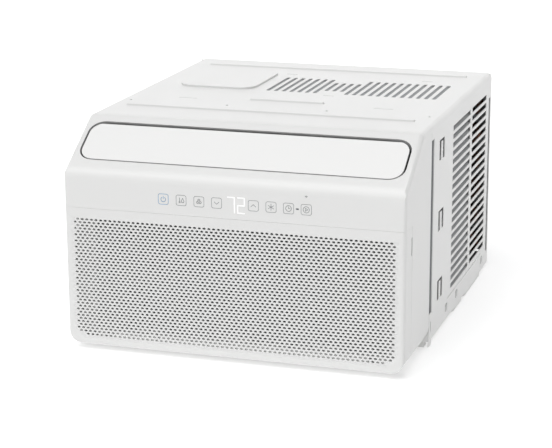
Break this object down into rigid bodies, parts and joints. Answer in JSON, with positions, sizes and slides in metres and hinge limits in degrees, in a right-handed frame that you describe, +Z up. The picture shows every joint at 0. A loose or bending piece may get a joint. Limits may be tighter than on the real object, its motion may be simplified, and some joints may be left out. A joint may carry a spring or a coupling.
{
  "type": "window air conditioner",
  "caption": "Small window air conditioner: sloped top outlet with motor flap over swinging vanes, perforated tilt-down intake grille, louvred steel cabinet and open condenser rear.",
  "frame": {"origin": "centre of the footprint, on the surface that the feet stand on", "axes": "+X to the right seen from the room, -Y faces the room, +Y points outdoors, +Z up"},
  "size_m": [0.48, 0.56, 0.317],
  "materials": {
    "cabinet_paint": "satin white paint",
    "channel_metal": "satin grey paint",
    "pan_steel": "satin white paint",
    "front_plastic": "fine satin",
    "flap_plastic": "fine satin",
    "vane_plastic": "satin",
    "grille_plastic": "fine satin",
    "filter_plastic": "matte",
    "filter_net": "woven nylon",
    "fin_aluminium": "bare",
    "plate_steel": "zinc plated",
    "copper": "drawn tube",
    "screw_steel": "zinc plated",
    "foam": "moulded",
    "wheel_plastic": "satin",
    "shaft_steel": "ground",
    "motor_paint": "semi-gloss",
    "compressor_paint": "semi-gloss",
    "black_rubber": "matte",
    "shroud_plastic": "matte",
    "board_green": "solder mask",
    "black_plastic": "gloss",
    "capacitor_can": "drawn",
    "motor_can": "plated"
  },
  "bodies": {
    "case": {"cabinet": "cabinet_paint", "side_channels": "channel_metal", "base_pan": "pan_steel", "drain_plug": "black_rubber", "front_panel": "front_plastic", "front_panel_screws": "screw_steel", "outlet_duct": "foam", "flap_motor": "motor_can", "grille_pins": "screw_steel", "evaporator_fins": "fin_aluminium", "evaporator_tubes": "copper", "evaporator_plates": "plate_steel", "condenser_fins": "fin_aluminium", "condenser_tubes": "copper", "condenser_plates": "plate_steel", "rear_screws": "screw_steel", "bulkhead": "plate_steel", "blower_housing": "foam", "inlet_ring": "foam", "fan_motor": "motor_paint", "motor_bracket": "plate_steel", "fan_shroud": "shroud_plastic", "compressor": "compressor_paint", "compressor_grommets": "black_rubber", "compressor_nuts": "screw_steel", "terminal_cover": "black_plastic", "accumulator": "compressor_paint", "discharge_pipe": "copper", "suction_pipe": "copper", "liquid_pipe": "copper", "run_capacitor": "capacitor_can", "control_box": "foam", "control_board": "board_green", "touch_springs": "screw_steel", "display_module": "black_plastic", "power_gland": "black_rubber"},
    "flap": {"louvre_flap": "flap_plastic", "flap_pins": "shaft_steel"},
    "left_bar": {"left_vane_bar": "vane_plastic"},
    "right_bar": {"right_vane_bar": "vane_plastic"},
    "grille": {"intake_grille": "grille_plastic"},
    "filter": {"filter_frame": "filter_plastic", "filter_mesh": "filter_net"},
    "rotor": {"blower_wheel": "wheel_plastic", "blower_nut": "screw_steel", "motor_shaft": "shaft_steel", "condenser_fan": "wheel_plastic", "fan_nut": "screw_steel"},
    "vane_1": {"vane_1": "vane_plastic"},
    "vane_2": {"vane_2": "vane_plastic"},
    "vane_3": {"vane_3": "vane_plastic"},
    "vane_4": {"vane_4": "vane_plastic"},
    "vane_5": {"vane_5": "vane_plastic"},
    "vane_6": {"vane_6": "vane_plastic"},
    "vane_7": {"vane_7": "vane_plastic"},
    "vane_8": {"vane_8": "vane_plastic"},
    "vane_9": {"vane_9": "vane_plastic"},
    "vane_10": {"vane_10": "vane_plastic"}
  },
  "joints": [
    {"name": "flap_tilt", "type": "hinge", "parent": "case", "child": "flap", "pos_m": [0, -0.20271, 0.29211], "axis": [-1, 0, 0], "range_deg": [0, 45]},
    {"name": "vane_1_swing", "type": "hinge", "parent": "case", "child": "vane_1", "pos_m": [-0.18, -0.21305, 0.26619], "axis": [0, 0.848, 0.5299], "range_deg": [-25, 25]},
    {"name": "vane_2_swing", "type": "hinge", "parent": "case", "child": "vane_2", "pos_m": [-0.14, -0.21305, 0.26619], "axis": [0, 0.848, 0.5299], "range_deg": [-25, 25]},
    {"name": "vane_3_swing", "type": "hinge", "parent": "case", "child": "vane_3", "pos_m": [-0.1, -0.21305, 0.26619], "axis": [0, 0.848, 0.5299], "range_deg": [-25, 25]},
    {"name": "vane_4_swing", "type": "hinge", "parent": "case", "child": "vane_4", "pos_m": [-0.06, -0.21305, 0.26619], "axis": [0, 0.848, 0.5299], "range_deg": [-25, 25]},
    {"name": "vane_5_swing", "type": "hinge", "parent": "case", "child": "vane_5", "pos_m": [-0.02, -0.21305, 0.26619], "axis": [0, 0.848, 0.5299], "range_deg": [-25, 25]},
    {"name": "vane_6_swing", "type": "hinge", "parent": "case", "child": "vane_6", "pos_m": [0.02, -0.21305, 0.26619], "axis": [0, 0.848, 0.5299], "range_deg": [-25, 25]},
    {"name": "vane_7_swing", "type": "hinge", "parent": "case", "child": "vane_7", "pos_m": [0.06, -0.21305, 0.26619], "axis": [0, 0.848, 0.5299], "range_deg": [-25, 25]},
    {"name": "vane_8_swing", "type": "hinge", "parent": "case", "child": "vane_8", "pos_m": [0.1, -0.21305, 0.26619], "axis": [0, 0.848, 0.5299], "range_deg": [-25, 25]},
    {"name": "vane_9_swing", "type": "hinge", "parent": "case", "child": "vane_9", "pos_m": [0.14, -0.21305, 0.26619], "axis": [0, 0.848, 0.5299], "range_deg": [-25, 25]},
    {"name": "vane_10_swing", "type": "hinge", "parent": "case", "child": "vane_10", "pos_m": [0.18, -0.21305, 0.26619], "axis": [0, 0.848, 0.5299], "range_deg": [-25, 25]},
    {"name": "left_bar_slide", "type": "slide", "parent": "case", "child": "left_bar", "axis": [1, 0, 0], "range_m": [-0.0079, 0.0079]},
    {"name": "right_bar_slide", "type": "slide", "parent": "case", "child": "right_bar", "axis": [1, 0, 0], "range_m": [-0.0079, 0.0079]},
    {"name": "grille_tilt", "type": "hinge", "parent": "case", "child": "grille", "pos_m": [0, -0.25, 0.016], "axis": [1, 0, 0], "range_deg": [0, 35]},
    {"name": "filter_lift", "type": "slide", "parent": "case", "child": "filter", "axis": [0, 0, 1], "range_m": [0, 0.008]},
    {"name": "rotor_spin", "type": "hinge", "parent": "case", "child": "rotor", "pos_m": [0.07, 0, 0.15], "axis": [0, 1, 0], "continuous": true}
  ],
  "couplings": [
    {"joint": "vane_2_swing", "follows": "vane_1_swing", "ratio": 1},
    {"joint": "vane_3_swing", "follows": "vane_1_swing", "ratio": 1},
    {"joint": "vane_4_swing", "follows": "vane_1_swing", "ratio": 1},
    {"joint": "vane_5_swing", "follows": "vane_1_swing", "ratio": 1},
    {"joint": "vane_7_swing", "follows": "vane_6_swing", "ratio": 1},
    {"joint": "vane_8_swing", "follows": "vane_6_swing", "ratio": 1},
    {"joint": "vane_9_swing", "follows": "vane_6_swing", "ratio": 1},
    {"joint": "vane_10_swing", "follows": "vane_6_swing", "ratio": 1},
    {"joint": "left_bar_slide", "follows": "vane_1_swing", "m_per_rad": -0.0177},
    {"joint": "right_bar_slide", "follows": "vane_6_swing", "m_per_rad": -0.0177}
  ]
}
